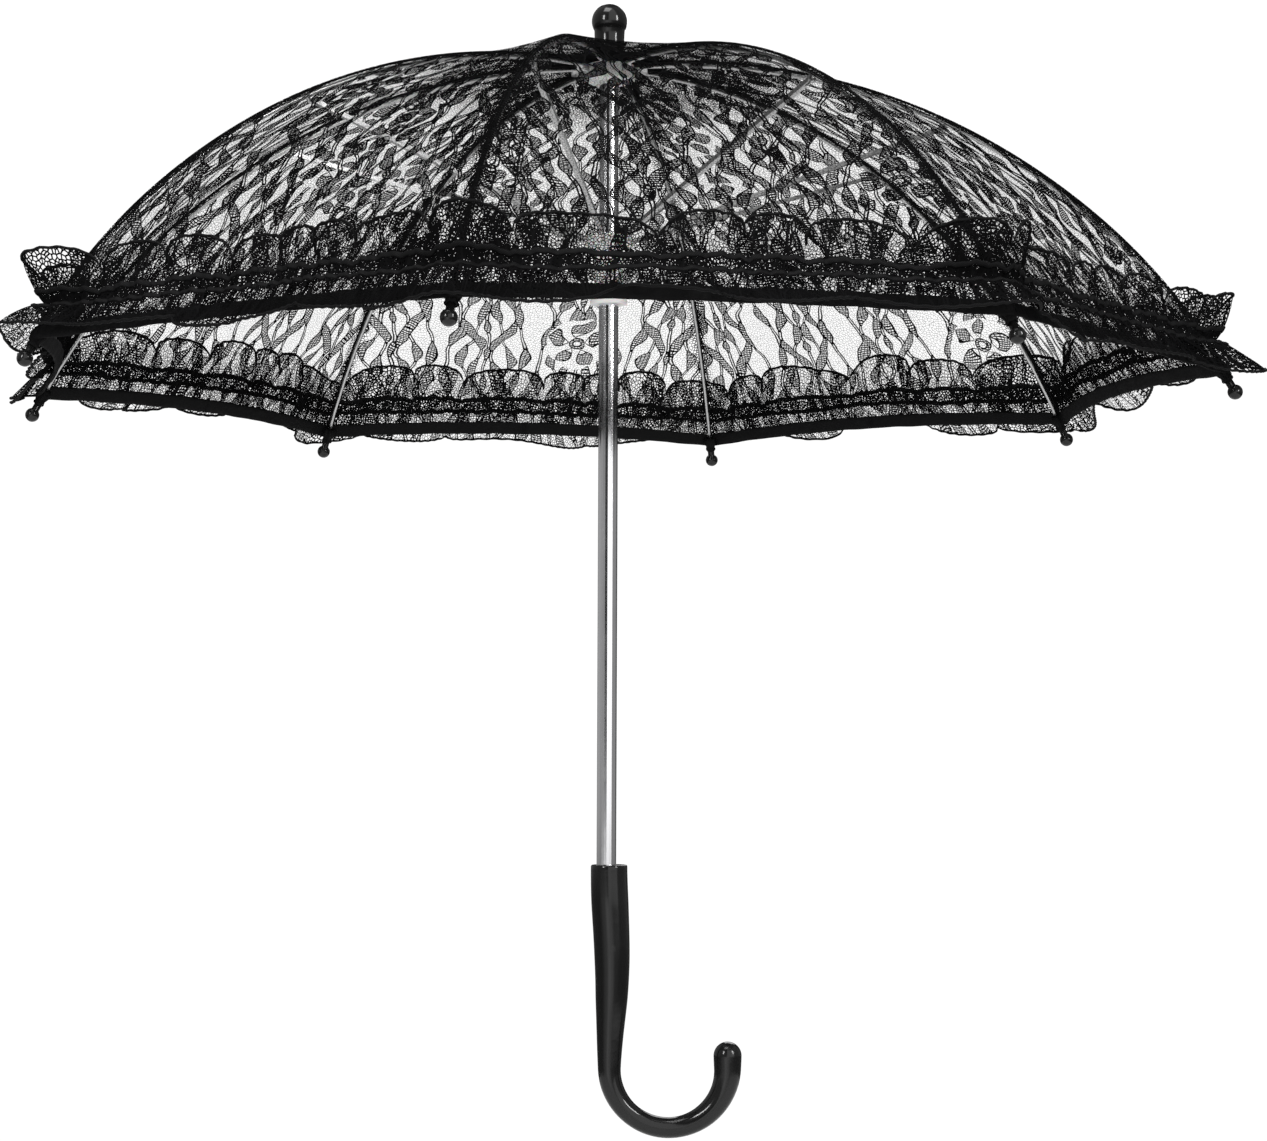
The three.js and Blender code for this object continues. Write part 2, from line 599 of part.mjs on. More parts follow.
function canopy() {
  const start = CANOPY_HOLE_R - RIB_FLAT_R;
  const gore = shell(8, 8, (u, v) => {
    const w = u - 0.5;
    const s = start + v * (hemAt(w) - start);
    return [clothPoint(s, CANOPY_LIFT, w), clothPoint(s, CANOPY_LIFT + CANOPY_THICK, w)];
  });
  const ruffle = shell(8, 3, (u, v) => {
    const w = u - 0.5;
    const s = hemAt(w) - RUFFLE_ABOVE + v * (RUFFLE_ABOVE + RUFFLE_BELOW);
    const lift = RUFFLE_LIFT + RUFFLE_FLARE * Math.abs(v - 0.4);
    return [clothPoint(s, lift, w), clothPoint(s, lift + CANOPY_THICK, w)];
  });
  for (let k = 0; k < RIB_COUNT; k += 1) {
    place(`canopy_gore_${k + 1}`, gore, LACE, ribAngle(k));
    place(`ruffle_${k + 1}`, ruffle, LACE, ribAngle(k));
  }
}

shaftTube();
handle();
finial();
notch();
runner();
springCatch(OPEN_CATCH);
springCatch(CLOSED_CATCH);
ribs();
stretchers();
canopy();

export default parasol;
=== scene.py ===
# %% [markdown]
# # A small lace parasol
# Eight wire ribs hold a dome of black lace. Stretchers join the ribs to a runner on a chrome
# shaft, and a glossy crook handle closes the bottom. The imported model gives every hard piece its
# place, and this lesson gives the cloth, the edging and the finishes their looks.

# %% Load the frame
import json
import math

import bmesh
import bpy
import numpy as np
from mathutils import Matrix, Vector


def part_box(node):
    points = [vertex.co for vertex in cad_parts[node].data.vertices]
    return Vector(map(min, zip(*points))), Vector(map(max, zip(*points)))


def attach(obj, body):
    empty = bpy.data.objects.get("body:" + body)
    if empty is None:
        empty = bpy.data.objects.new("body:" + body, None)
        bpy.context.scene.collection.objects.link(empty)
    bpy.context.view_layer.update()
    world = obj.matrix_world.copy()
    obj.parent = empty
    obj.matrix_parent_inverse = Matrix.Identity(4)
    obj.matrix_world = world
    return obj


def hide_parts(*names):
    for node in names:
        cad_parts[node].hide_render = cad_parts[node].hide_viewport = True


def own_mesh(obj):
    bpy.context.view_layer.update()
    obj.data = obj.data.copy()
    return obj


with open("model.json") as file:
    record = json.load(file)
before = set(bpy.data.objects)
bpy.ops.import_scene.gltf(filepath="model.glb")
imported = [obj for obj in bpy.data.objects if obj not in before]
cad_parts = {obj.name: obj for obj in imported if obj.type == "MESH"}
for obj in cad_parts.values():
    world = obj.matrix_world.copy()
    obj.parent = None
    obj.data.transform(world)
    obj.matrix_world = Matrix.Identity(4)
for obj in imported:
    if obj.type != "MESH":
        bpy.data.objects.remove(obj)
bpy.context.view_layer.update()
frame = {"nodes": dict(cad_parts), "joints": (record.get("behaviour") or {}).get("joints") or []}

# %% [markdown]
# ## The camera and the pale floor
# The parasol stands alone on white, a little above the eye. The camera comes first, so that each
# piece can be judged through it. The floor is one wide disc, pale enough to melt into the white.

# %% Camera
camera_data = bpy.data.cameras.new("camera")
camera_data.sensor_fit = "HORIZONTAL"
camera_data.sensor_width = 36
camera_data.lens = 80.4
camera_data.clip_end = 60
camera = bpy.data.objects.new("camera", camera_data)
bpy.context.scene.collection.objects.link(camera)
CAMERA_PLACE = (-0.0016, -1.4466, 0.1172)
CAMERA_TURN = math.radians(-0.59)
CAMERA_PITCH = math.radians(3.08)
CAMERA_ROLL = math.radians(0.2)
turn = Matrix.Rotation(CAMERA_TURN, 4, "Z")
pitch = Matrix.Rotation(math.radians(90) + CAMERA_PITCH, 4, "X")
roll = Matrix.Rotation(CAMERA_ROLL, 4, "Z")
camera.matrix_world = Matrix.Translation(CAMERA_PLACE) @ turn @ pitch @ roll
bpy.context.scene.camera = camera
print("camera at", tuple(round(x, 4) for x in camera.location))

# %% [markdown]
# ## A mesh from a grid of points
# Cloth, tapes and turned parts are all surfaces with two parameters. Each one is worked out as a
# whole array of points, rows by columns, and these helpers turn such an array into a mesh.

# %% Grid helpers
def quads_between(rows, columns, ring=False, turned=False):
    """Joins each point of a grid to its neighbours: point (i, j) has the number i * columns + j,
    and the four numbers of a face go round it. A ring also joins the last column to the first."""
    i = np.arange(rows - 1)[:, None]
    j = np.arange(columns if ring else columns - 1)[None, :]
    ahead = (j + 1) % columns
    corners = [i * columns + j, (i + 1) * columns + j, (i + 1) * columns + ahead, i * columns + ahead]
    quads = np.stack(np.broadcast_arrays(*corners), axis=-1).reshape(-1, 4)
    return quads[:, ::-1] if turned else quads


def corner_values(grid, ring=False, turned=False):
    """Takes a value per point of a grid and repeats it for each corner of each face."""
    rows, columns = grid.shape[:2]
    return grid.reshape(rows * columns, -1)[quads_between(rows, columns, ring, turned)]


def mesh_piece(name, points, quads, smooth=True):
    """Puts points and faces into a mesh object that stands at the origin."""
    mesh = bpy.data.meshes.new(name)
    mesh.from_pydata(points.reshape(-1, 3).tolist(), [], quads.tolist())
    mesh.polygons.foreach_set("use_smooth", np.full(len(mesh.polygons), smooth))
    mesh.update()
    piece = bpy.data.objects.new(name, mesh)
    bpy.context.scene.collection.objects.link(piece)
    return piece


def seal(piece, reach=1e-6):
    """Merges the points that meet at poles and seams, and points the faces outwards."""
    body = bmesh.new()
    body.from_mesh(piece.data)
    bmesh.ops.remove_doubles(body, verts=body.verts, dist=reach)
    bmesh.ops.recalc_face_normals(body, faces=body.faces)
    body.to_mesh(piece.data)
    body.free()
    piece.data.update()
    return piece


def put_map(piece, name, corners):
    """Writes one pair of numbers for each face corner into a UV map."""
    layer = piece.data.uv_layers.new(name=name)
    layer.data.foreach_set("uv", np.ascontiguousarray(corners, dtype=np.float32).ravel())


def put_share(piece, name, values):
    """Writes one number for each point into an attribute that a material can read."""
    layer = piece.data.attributes.new(name, "FLOAT", "POINT")
    layer.data.foreach_set("value", np.ascontiguousarray(values, dtype=np.float32).ravel())


def smoothstep(low, high, x):
    """Goes from 0 at low to 1 at high along 3t^2 - 2t^3."""
    t = np.clip((x - low) / (high - low), 0, 1)
    return t * t * (3 - 2 * t)


# %% [markdown]
# ## Shader sums written as Python
# A finish is a small sum of waves, noises and masks. The class below wraps a socket, so that an
# expression such as 1 - mask adds its own Math node, and one method makes any other node.

# %% The socket class
class Value:
    """A number that varies over a surface. Sums with it add Math nodes to its tree."""

    def __init__(self, nodes, socket):
        self.nodes = nodes
        self.socket = socket

    def maths(self, operation, *others):
        """Adds a Math node whose first input is this value."""
        return self.nodes.node("ShaderNodeMath", {"operation": operation}, [self, *others])

    def __add__(self, other):
        return self.maths("ADD", other)

    def __sub__(self, other):
        return self.maths("SUBTRACT", other)

    def __mul__(self, other):
        return self.maths("MULTIPLY", other)

    def __truediv__(self, other):
        return self.maths("DIVIDE", other)

    def __mod__(self, other):
        return self.maths("FLOORED_MODULO", other)

    def __lt__(self, other):
        return self.maths("LESS_THAN", other)

    def __gt__(self, other):
        return self.maths("GREATER_THAN", other)

    def __neg__(self):
        return self.maths("MULTIPLY", -1)

    def __abs__(self):
        return self.maths("ABSOLUTE")

    def __rsub__(self, other):
        return self.nodes.node("ShaderNodeMath", {"operation": "SUBTRACT"}, [other, self])

    def beside(self, output):
        """Another output of the same node, such as Y beside X."""
        return Value(self.nodes, self.socket.node.outputs[output])

    __radd__ = __add__
    __rmul__ = __mul__


class Nodes:
    """The nodes of one tree."""

    def __init__(self, tree):
        self.tree = tree

    def node(self, kind, settings=None, inputs=(), output=0):
        """Adds a node, sets its settings first and then its sockets, and returns one output."""
        made = self.tree.nodes.new(kind)
        for key, value in (settings or {}).items():
            if key == "stops":
                self.set_stops(made.color_ramp, value)
            else:
                setattr(made, key, value)
        pairs = inputs.items() if isinstance(inputs, dict) else enumerate(inputs)
        for key, value in pairs:
            if isinstance(value, Value):
                self.tree.links.new(value.socket, made.inputs[key])
            else:
                made.inputs[key].default_value = value
        return Value(self, made.outputs[output])

    def set_stops(self, ramp, stops):
        """Gives a ramp its steps, each a place and a grey."""
        while len(ramp.elements) < len(stops):
            ramp.elements.new(1)
        for element, (place, level) in zip(ramp.elements, stops):
            element.position = place
            element.color = grey(level)

    def between(self, x, low, high, to_low=0.0, to_high=1.0):
        """Moves a value from one range to another, and keeps it there."""
        return self.node("ShaderNodeMapRange", inputs=[x, low, high, to_low, to_high])

    def mix_colours(self, share, first, second):
        """Goes from the first colour to the second as share goes from 0 to 1."""
        settings = {"data_type": "RGBA"}
        return self.node("ShaderNodeMix", settings, {0: share, 6: first, 7: second}, output=2)


class Finish(Nodes):
    """One material: a Principled shader and the nodes that feed it."""

    def __init__(self, name, **constants):
        self.material = bpy.data.materials.new(name)
        self.material.use_nodes = True
        super().__init__(self.material.node_tree)
        self.shader = self.tree.nodes["Principled BSDF"]
        for socket, value in constants.items():
            self.shader.inputs[socket.replace("_", " ")].default_value = value

    def feed(self, socket, value):
        """Links a value to a socket of the shader."""
        self.tree.links.new(value.socket, self.shader.inputs[socket])

    def objects_place(self):
        """The place on the piece itself, in metres."""
        return self.node("ShaderNodeTexCoord", output="Object")

    def noise(self, scale, detail=2.0, roughness=0.5, where=None):
        """Soft noise on the piece's own place, from 0 to 1."""
        inputs = {"Vector": where or self.objects_place(), "Scale": scale, "Detail": detail,
                  "Roughness": roughness}
        return self.node("ShaderNodeTexNoise", inputs=inputs)

    def bump(self, height, strength, distance):
        """Raises the surface by the height in the shading only."""
        inputs = {"Height": height, "Strength": strength, "Distance": distance}
        self.feed("Normal", self.node("ShaderNodeBump", inputs=inputs))


def grey(value, blue=0.0):
    """A near neutral colour, with a little blue if wanted."""
    return (value, value, value * (1 + blue), 1)


# %% [markdown]
# ## Where the ribs run
# Each rib leaves the notch almost level and then bends down along one arc to its tip. The joints
# of the frame say where each rib turns, so the ribs' directions and height come from them.

# %% Rib directions and the line of a rib
RIBS = 8
joints = {joint["name"]: joint for joint in frame["joints"]}
fold_places = [joints[f"rib_{k + 1}_fold"]["pos_m"] for k in range(RIBS)]
rib_bearings = [math.atan2(y, x) for x, y, z in fold_places]
LINE_ABOVE_PIVOT = 0.0015
RIB_LINE_Z = fold_places[0][2] + LINE_ABOVE_PIVOT
FLAT_RADIUS = 0.024
TIP_RADIUS = 0.315
SWEEP = math.radians(59.5)
STRAIGHT_END = 0.014
BEND_RADIUS = (TIP_RADIUS - FLAT_RADIUS - STRAIGHT_END * math.cos(SWEEP)) / math.sin(SWEEP)
ARC = BEND_RADIUS * SWEEP
RIB_LENGTH = ARC + STRAIGHT_END
PANEL_ANGLE = 2 * math.pi / RIBS
SAG = 0.008
HEM_RISE = 0.009
HEM_BACK = 0.009
print("first rib at", round(math.degrees(rib_bearings[0]), 2), "degrees, length", RIB_LENGTH)


def rib_line(s):
    """Radius and height of a rib at the distance s from the start of its bend, and the outward
    normal there: level, then an arc that turns by s / BEND_RADIUS, then straight."""
    turned = np.clip(s / BEND_RADIUS, 0, SWEEP)
    beyond = np.maximum(s - ARC, 0)
    radius = FLAT_RADIUS + np.minimum(s, 0) + BEND_RADIUS * np.sin(turned) + beyond * np.cos(turned)
    height = RIB_LINE_Z - BEND_RADIUS * (1 - np.cos(turned)) - beyond * np.sin(turned)
    return radius, height, np.sin(turned), np.cos(turned)


def hem_at(w):
    """Distance of the hem along the rib line. It rises between two ribs as a parabola."""
    return RIB_LENGTH - HEM_BACK - HEM_RISE * 4 * np.abs(w) * (1 - np.abs(w))


def on_dome(k, s, w, lift):
    """Point of the stretched cloth over rib k. The cloth runs straight between two ribs, so the
    point moves along the chord by w, from -0.5 to 0.5 of a panel, and dips between the ribs as
    4e(1 - e) towards the shaft. Lift is measured along the outward normal."""
    radius, height, out, up = rib_line(s)
    reach = radius + lift * out
    edge = np.abs(w)
    px = reach * (1 - edge * (1 - math.cos(PANEL_ANGLE)))
    py = reach * edge * math.sin(PANEL_ANGLE)
    bearing = np.arctan2(py, px)
    dip = 4 * edge * (1 - edge) * SAG * radius / TIP_RADIUS
    px = px - dip * out * np.cos(bearing)
    py = (py - dip * out * np.sin(bearing)) * np.sign(w)
    pz = height + lift * up - dip * up + 0 * edge
    cosine, sine = math.cos(rib_bearings[k]), math.sin(rib_bearings[k])
    return np.stack([cosine * px - sine * py, sine * px + cosine * py, pz + 0 * px], axis=-1)


# %% [markdown]
# ## How the cloth folds
# Each rib carries the cloth over it from one panel's middle to the next. When the parasol closes,
# real lace bunches between the ribs. Here each gore rides on its rib, so it stays near its own rib.


def fasten(piece, k, *nodes, slot="lace", folds=True):
    """Rides on rib k and hides the CAD nodes that it takes the place of; a piece that folds gets a mesh
    of its own.
    """
    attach(piece, f"rib_{k + 1}")
    if nodes:
        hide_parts(*nodes)
    if folds:
        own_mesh(piece)
    return piece


# %% [markdown]
# ## Black lace
# The cloth is a knitted lace: chains of small leaves on wavy stems, mirrored in pairs, with open
# flowers between them and a fine net in the gaps. The shapes are hatched with yarn and outlined
# with a thicker cord. A map in millimetres, laid along each panel, carries the pattern, and the
# gaps are real holes through the Alpha socket.

# %% Lace pattern
REPEAT = 56.0
WAVE = 64.0
MIDDLE = REPEAT / 2
STEM_HALF = 0.75
PETAL_TURN = 2 * math.pi / 5
# Each chain is (place across the repeat, swing, waves in one WAVE, phase, step between leaves,
# offset of the leaves, half width and half length of a leaf), in millimetres.
CHAINS = [
    (MIDDLE - 5.6, 2.6, 2, 0.0, WAVE / 3, 0.0, 3.0, 7.4),
    (MIDDLE + 5.6, -2.6, 2, 0.0, WAVE / 3, 0.0, 3.0, 7.4),
    (MIDDLE - 13.0, 3.2, 2, 2.0, WAVE / 3, 9.5, 3.2, 7.8),
    (MIDDLE + 13.0, -3.2, 2, 2.0, WAVE / 3, 9.5, 3.2, 7.8),
    (MIDDLE, 0.9, 1, 0.4, WAVE / 3, 12.0, 1.9, 4.6),
    (7.2, 3.9, 1, 1.0, WAVE / 2, 5.0, 2.8, 9.0),
    (49.0, 3.6, 1, 2.9, WAVE / 2, 20.0, 3.0, 8.4),
]


def leaf(across, along, half_width, half_length):
    """Negative inside a leaf: |across| - half_width * (1 - (along / half_length)^2)."""
    share = along / half_length
    return abs(across) - half_width * (1 - share * share)


def leaf_chain(x, v, plump, chain):
    """Leaves strung on a wavy stem. The stem's place is c + swing * sin(2 pi n v / WAVE + phase),
    and the leaves lie on it end to end, a step apart."""
    place, swing, waves, phase, step, offset, half_width, half_length = chain
    stem = (v * (2 * math.pi * waves / WAVE) + phase).maths("SINE") * swing + place
    aside = x - stem
    along = (v + offset) % step - step / 2
    return leaf(aside, along, plump * half_width, half_length), abs(aside) - STEM_HALF


def lace_finish(name, shift=0.0, dense=0.0):
    """The whole lace: cover is 1 on yarn and 0 in a hole."""
    finish = Finish(name, Roughness=0.8, Specular_IOR_Level=0.0)
    place = finish.node("ShaderNodeUVMap", {"uv_map": "cloth"})
    flat = {"noise_dimensions": "2D"}
    drift = finish.node("ShaderNodeTexNoise", flat, {"Vector": place, "Scale": 0.05, "Detail": 1.5},
                        output="Color")
    split = finish.node("ShaderNodeSeparateXYZ", inputs=[place])
    swirl = finish.node("ShaderNodeSeparateXYZ", inputs=[drift])
    u = split + shift + (swirl - 0.5) * 7.0
    v = split.beside("Y") + (swirl.beside("Y") - 0.5) * 9.0
    column = (u / REPEAT).maths("FLOOR")
    x = u - column * REPEAT
    plump = swirl * 0.9 + 0.55
    leaves, stems = None, None
    for chain in CHAINS:
        leaf_shape, stem_shape = leaf_chain(x, v, plump, chain)
        leaves = leaf_shape if leaves is None else leaves.maths("MINIMUM", leaf_shape)
        stems = stem_shape if stems is None else stems.maths("MINIMUM", stem_shape)

    row = (v / WAVE).maths("FLOOR")
    cell = {"noise_dimensions": "1D"}
    chance = finish.node("ShaderNodeTexWhiteNoise", cell, {"W": column * 7.0 + row + 12.1})
    down = v - row * WAVE - WAVE / 2
    side = x - MIDDLE
    ring = (side * side + down * down).maths("SQRT")
    angle = down.maths("ARCTAN2", side)
    petal_angle = (angle + math.pi + swirl) % PETAL_TURN - PETAL_TURN / 2
    reach = ring * petal_angle.maths("COSINE") - 11.0
    petal = leaf(ring * petal_angle.maths("SINE"), reach - 0.6, plump * 4.9, 6.6)
    centre = abs(ring - 3.2) - 1.0
    garden = (chance > 0.68) * (ring < 18.6)
    kept = 1 - garden
    leaves = kept * leaves + garden * petal.maths("MAXIMUM", 8.0 - ring).maths("MINIMUM", centre)
    whole = kept * leaves.maths("MINIMUM", stems) + garden * petal.maths("MINIMUM", centre)

    inside = leaves < 0
    rough = finish.node("ShaderNodeTexNoise", flat, {"Vector": place, "Scale": 1.1, "Detail": 2.0})
    outline = (abs(whole) < rough * 0.4 + 0.16).maths("MAXIMUM", abs(leaves) < rough * 0.4 + 0.15)
    hatch = abs((v + u * 0.1) % 1.3 - 0.65) < rough * 0.4 + 0.09
    cross = abs((u - v * 0.2) % 1.7 - 0.85) < rough * 0.3 + 0.03
    fill = inside * hatch.maths("MAXIMUM", cross)
    cells = {"voronoi_dimensions": "2D", "feature": "DISTANCE_TO_EDGE"}
    net = finish.node("ShaderNodeTexVoronoi", cells, {"Vector": place, "Scale": 0.62})
    share = finish.node("ShaderNodeAttribute", {"attribute_name": "dense"}, output="Fac") + dense
    mesh_yarn = net < (share * 0.24 + 0.028)
    cover = fill.maths("MAXIMUM", outline).maths("MAXIMUM", mesh_yarn)
    finish.feed("Alpha", cover)

    tone = finish.noise(40.0, 3.0) * 0.6 + outline * 0.2
    finish.feed("Base Color", finish.mix_colours(tone, grey(0.002), grey(0.009, 0.05)))
    finish.bump(outline * 0.6 + hatch * 0.4, 0.6, 0.0004)
    print(name, "has", len(finish.tree.nodes), "nodes")
    return finish.material


lace = lace_finish("black_lace")
edging_lace = lace_finish("edging_lace", shift=11.0, dense=0.3)

# %% [markdown]
# ## Tapes and threads
# The hem tape, the seam tapes, the gathering threads and the outline cords are woven or twisted
# yarn. They share one black, with a weave or a twist at its own size.

# %% Tape and thread
def tape_finish():
    """Plain weave: two crossed waves 0.7 mm apart, with a lighter sheen on the crowns."""
    finish = Finish("black_tape", Specular_IOR_Level=0.06)
    place = finish.node("ShaderNodeUVMap", {"uv_map": "cloth"})
    split = finish.node("ShaderNodeSeparateXYZ", inputs=[place])
    along = split * (2 * math.pi / 0.8)
    over = split.beside("Y") * (2 * math.pi / 0.6)
    weave = along.maths("SINE") * over.maths("SINE") * 0.5 + 0.5
    wear = finish.noise(90.0, 4.0)
    tone = weave * 0.5 + wear * 0.4
    finish.feed("Base Color", finish.mix_colours(tone, grey(0.0015), grey(0.008, 0.06)))
    finish.feed("Roughness", finish.between(wear, 0.3, 0.7, 0.5, 0.75))
    finish.bump(weave, 0.5, 0.0002)
    return finish.material


def thread_finish():
    """Twisted yarn: slanted ridges that wind round the thread every millimetre, with a painted sheen: the
    crests of the ridges are lighter in colour.
    """
    finish = Finish("black_thread", Specular_IOR_Level=0.06)
    place = finish.node("ShaderNodeUVMap", {"uv_map": "cloth"})
    split = finish.node("ShaderNodeSeparateXYZ", inputs=[place])
    round_ = split.beside("Y")
    twist = (split * (2 * math.pi / 1.1) + round_ * (2 * math.pi)).maths("SINE") * 0.5 + 0.5
    # Painted sheen: the crests of the twist are lighter in colour, with a random tone from the noise on
    # top.
    tone = twist * 0.6 + finish.noise(120.0) * 0.4
    finish.feed("Base Color", finish.mix_colours(tone, grey(0.0015), grey(0.009, 0.05)))
    finish.feed("Roughness", finish.between(twist, 0, 1, 0.7, 0.5))
    finish.bump(twist, 0.5, 0.0001)
    return finish.material


tape = tape_finish()
thread = thread_finish()

# %% [markdown]
# ## The canopy
# Eight panels are sewn together along the ribs and pulled tight, so the cloth is straight across
# each panel with a slight dip. One sheet goes over each rib, from one panel's middle to the next,
# because it must fold with that rib. The sheets' edges share their points, so the dome is whole.

# %% Canopy sheets
CLOTH_LIFT = 0.0027
HOLE_S = -0.018
YARN_THICKNESS = 0.00018
CANOPY_ROWS = 110
CANOPY_COLUMNS = 81
UNITS = 1000.0


def panel_map(k, s, w):
    """Map in millimetres for each face corner. Across a panel it is the distance from the panel's
    middle along the chord, so it changes side at the rib. Down the panel it is s."""
    radius = rib_line(s)[0]
    chord = 2 * radius * math.sin(PANEL_ANGLE / 2)
    across = corner_values(chord * (0.5 - np.abs(w)) + 0 * w)
    side = np.where(corner_values(w + 0 * s).mean(axis=1, keepdims=True) > 0, -1.0, 1.0)
    panel = np.where(side < 0, k, (k - 1) % RIBS)
    u = across[..., 0] * side[..., 0] * UNITS + panel[..., 0] * 3 * REPEAT
    v = corner_values(s + 0 * w)[..., 0] * UNITS + 60 + (panel[..., 0] * 17) % 29
    return np.stack([u, v], axis=-1)


def pucker(k, s, w):
    """Small waves of the cloth near the hem, 0.5 mm high, on the bearing round the whole dome."""
    bearing = rib_bearings[k] + w * PANEL_ANGLE
    near_hem = smoothstep(0.16, 0.31, s)
    waves = np.sin(56 * bearing) * 0.6 + np.sin(104 * bearing + 40 * s) * 0.4
    return near_hem * waves * 0.0005


def canopy_sheet(k):
    """Grid of rows from the hole to the hem and columns from one panel's middle to the next."""
    w = np.linspace(-0.5, 0.5, CANOPY_COLUMNS)[None, :]
    share = np.linspace(0, 1, CANOPY_ROWS)[:, None]
    s = HOLE_S + share * (hem_at(w) - HOLE_S)
    points = on_dome(k, s, w, CLOTH_LIFT + pucker(k, s, w))
    quads = quads_between(CANOPY_ROWS, CANOPY_COLUMNS)
    piece = mesh_piece(f"canopy_lace_{k + 1}", points, quads)
    put_map(piece, "cloth", panel_map(k, s, w))
    beside_seam = np.abs(w) * 2 * rib_line(s)[0] * math.sin(PANEL_ANGLE / 2)
    crown = (1.7 - 1.7 * smoothstep(0.004, 0.036, s - HOLE_S)
             + 0.6 - 0.6 * smoothstep(0.06, 0.115, s - HOLE_S)
             + 0.3 * smoothstep(0.30, 0.322, s))
    allowance = 0.5 * (1 - smoothstep(0.0025, 0.0065, beside_seam))
    put_share(piece, "dense", crown + allowance)
    piece.data.materials.append(lace)
    yarn = piece.modifiers.new("yarn_thickness", "SOLIDIFY")
    yarn.thickness = YARN_THICKNESS
    yarn.offset = 0
    yarn.use_rim = False
    return piece


canopy = [canopy_sheet(k) for k in range(RIBS)]
print("canopy faces", sum(len(piece.data.polygons) for piece in canopy))


def sheet_area(piece):
    """Sum of the areas of the faces."""
    areas = np.zeros(len(piece.data.polygons), dtype=np.float32)
    piece.data.polygons.foreach_get("area", areas)
    return float(areas.sum())


# %% [markdown]
# ## Bands and threads that follow the cloth
# A hem tape, a seam tape and a thread are all a small closed section carried along a line on the
# cloth. The section lies across the line and along the cloth's normal.

# %% A section carried along a path
def swept(name, path, side, up, section, finish):
    """Carries a closed section along a path: each ring is path + x * side + y * up for the
    section's points (x, y). The ends are closed by a point in the middle of the ring."""
    x, y = section[None, :, 0:1], section[None, :, 1:2]
    ring = path[:, None, :] + x * side[:, None, :] + y * up[:, None, :]
    ends = [np.repeat(ring[i].mean(axis=0)[None, None, :], len(section), axis=1) for i in (0, -1)]
    points = np.concatenate([ends[0], ring, ends[1]])
    piece = mesh_piece(name, points, quads_between(len(points), len(section), ring=True))
    steps = np.linalg.norm(np.diff(path, axis=0), axis=1)
    along = np.concatenate([[0, 0], np.cumsum(steps), [steps.sum()]]) * UNITS
    turns = np.cumsum(np.linalg.norm(np.roll(section, -1, 0) - section, axis=1))
    turns = np.concatenate([[0], turns[:-1]]) * UNITS
    grid = np.stack(np.broadcast_arrays(along[:, None], turns[None, :]), axis=-1)
    put_map(piece, "cloth", corner_values(grid, ring=True))
    piece.data.materials.append(finish)
    return seal(piece, 1e-7)


def unit(vectors):
    """Vectors of length 1."""
    return vectors / np.linalg.norm(vectors, axis=-1, keepdims=True)


def oval(width, thick, count):
    """A flat oval section: a circle squared off a little towards a rectangle."""
    a = np.linspace(0, 2 * np.pi, count, endpoint=False) + np.pi / count
    x = np.sign(np.cos(a)) * np.abs(np.cos(a)) ** 0.6 * width / 2
    y = np.sign(np.sin(a)) * np.abs(np.sin(a)) ** 0.6 * thick / 2
    return np.stack([x, y], axis=-1)


def line_on_cloth(path_at, count):
    """Points, cross directions and normals of a line on a surface. path_at(t, d) is the surface
    d metres beside the line, and the normal is across x along."""
    t = np.linspace(0, 1, count)
    step = 0.0005
    path = path_at(t, 0.0)
    side = unit(path_at(t, step) - path_at(t, -step))
    along = unit(np.gradient(path, axis=0))
    up = unit(np.cross(along, side))
    return path, side, up


# %% [markdown]
# ## Hem tape
# The edge of the cloth is bound with a black tape, 7.8 mm wide and folded over the edge.

# %% Hem tape
HEM_TAPE = 0.0078
HEM_THICK = 0.0015
HEM_PAST = 0.0008
EDGE_COLUMNS = 61


def hem_piece(k):
    """The tape's outer edge stands past the hem by HEM_PAST, from one panel's middle to the next."""
    def at(t, d):
        w = t - 0.5
        s = hem_at(w) - HEM_TAPE / 2 + HEM_PAST + d
        return on_dome(k, s, w, CLOTH_LIFT + pucker(k, s, w))
    path, side, up = line_on_cloth(at, EDGE_COLUMNS)
    return swept(f"hem_tape_{k + 1}", path, side, up, oval(HEM_TAPE, HEM_THICK, 12), tape)


hems = [hem_piece(k) for k in range(RIBS)]

# %% [markdown]
# ## Seam tapes
# The panels are sewn together over the ribs. Each seam is covered inside by a narrow tape, which
# shows through the lace as a dark line.

# %% Seam tapes
SEAM_WIDTH = 0.0024
SEAM_THICK = 0.0009
SEAM_ROWS = 90
SEAM_UNDER = 0.0007


def seam_piece(k):
    """A straight tape under the cloth, from the crown to the hem, along the rib."""
    def at(t, d):
        s = HOLE_S + 0.002 + t * (hem_at(0.0) - HOLE_S - 0.004)
        w = d / (2 * rib_line(s)[0] * math.sin(PANEL_ANGLE / 2))
        return on_dome(k, s, w, CLOTH_LIFT - SEAM_UNDER)
    path, side, up = line_on_cloth(at, SEAM_ROWS)
    return swept(f"seam_tape_{k + 1}", path, side, up, oval(SEAM_WIDTH, SEAM_THICK, 8), tape)


seams = [seam_piece(k) for k in range(RIBS)]

# %% [markdown]
# ## The gathered edging
# A strip of lace is drawn up along two threads and sewn to the outside of the hem. Both of its
# edges stand free: the narrow upper one in small lobes, and the wide lower one in deep waves that
# hang past the hem. The waves run on round the dome, so neighbouring pieces meet.

# %% Edging
ATTACH = 0.0172
THREAD_GAP = 0.0037
UPPER_WIDTH = 0.0185
LOWER_WIDTH = 0.0215
EDGING_LIFT = CLOTH_LIFT + 0.0025
UPPER_WAVES = 50
LOWER_WAVES = 37
UPPER_STAND = 7.6
LOWER_STAND = 7.4
UPPER_FRILL = 10.5
LOWER_FRILL = 2.5
SWAY = 0.005
EDGING_COLUMNS = 221
EDGING_ROWS = 31


def wave_phase(bearing):
    """Waves whose spacing wanders, and closes after one turn."""
    return (UPPER_WAVES * bearing + 2.6 * np.sin(3 * bearing + 0.7) + 1.9 * np.sin(7 * bearing + 2.1)
            + 1.2 * np.sin(17 * bearing + 4.0))


